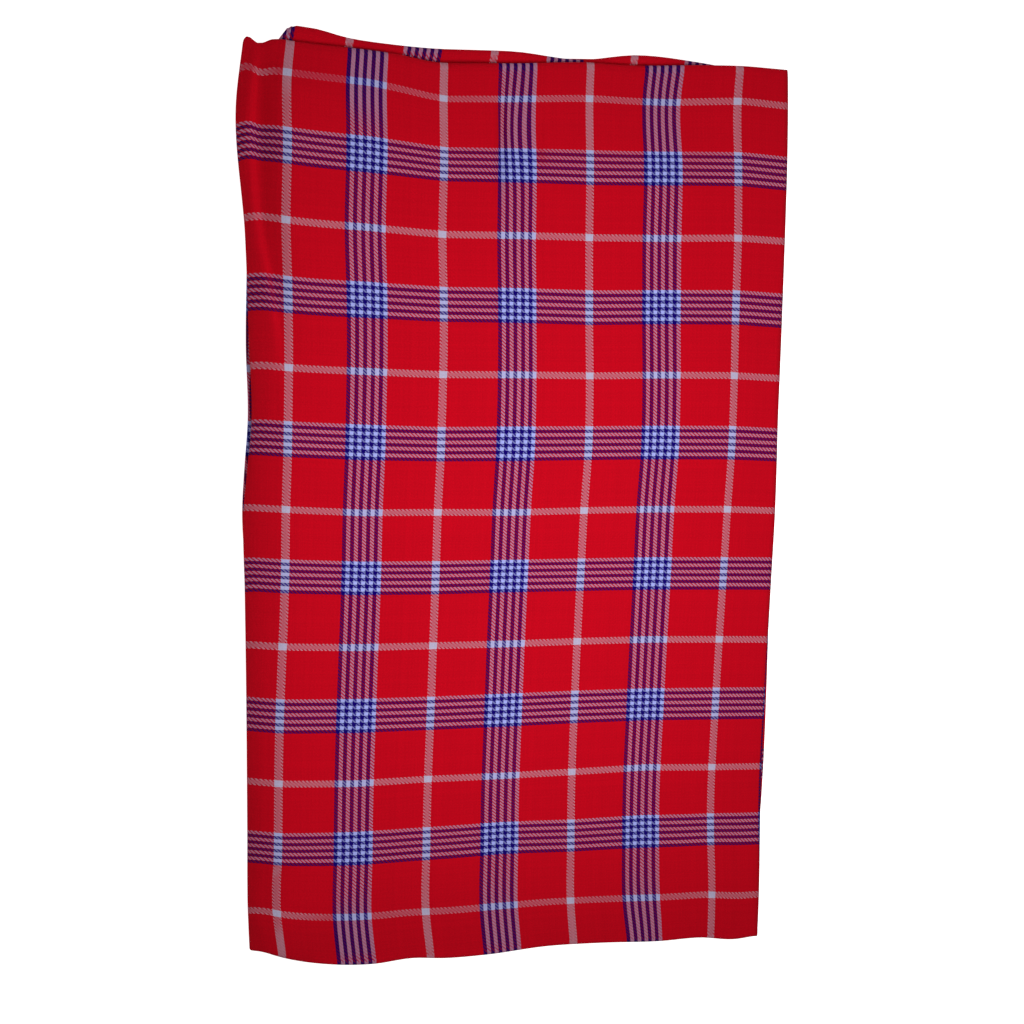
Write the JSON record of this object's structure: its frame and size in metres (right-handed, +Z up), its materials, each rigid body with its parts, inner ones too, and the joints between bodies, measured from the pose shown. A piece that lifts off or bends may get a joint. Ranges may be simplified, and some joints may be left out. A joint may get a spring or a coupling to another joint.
{
  "type": "folded maasai shuka blanket",
  "caption": "Checked woven blanket cloth folded into a flat oblong packet with soft rounded folds, lying face up.",
  "frame": {"origin": "centre of the packet's box, on the surface that it lies on", "axes": "+X to the right and +Y to the top of the packet as it is looked down on, +Z up"},
  "size_m": [0.3878, 0.628, 0.0211],
  "materials": {
    "checked_twill": "matte soft woven twill, red ground with white and blue checks"
  },
  "bodies": {
    "root": {"shuka_cloth": "checked_twill"}
  },
  "joints": []
}
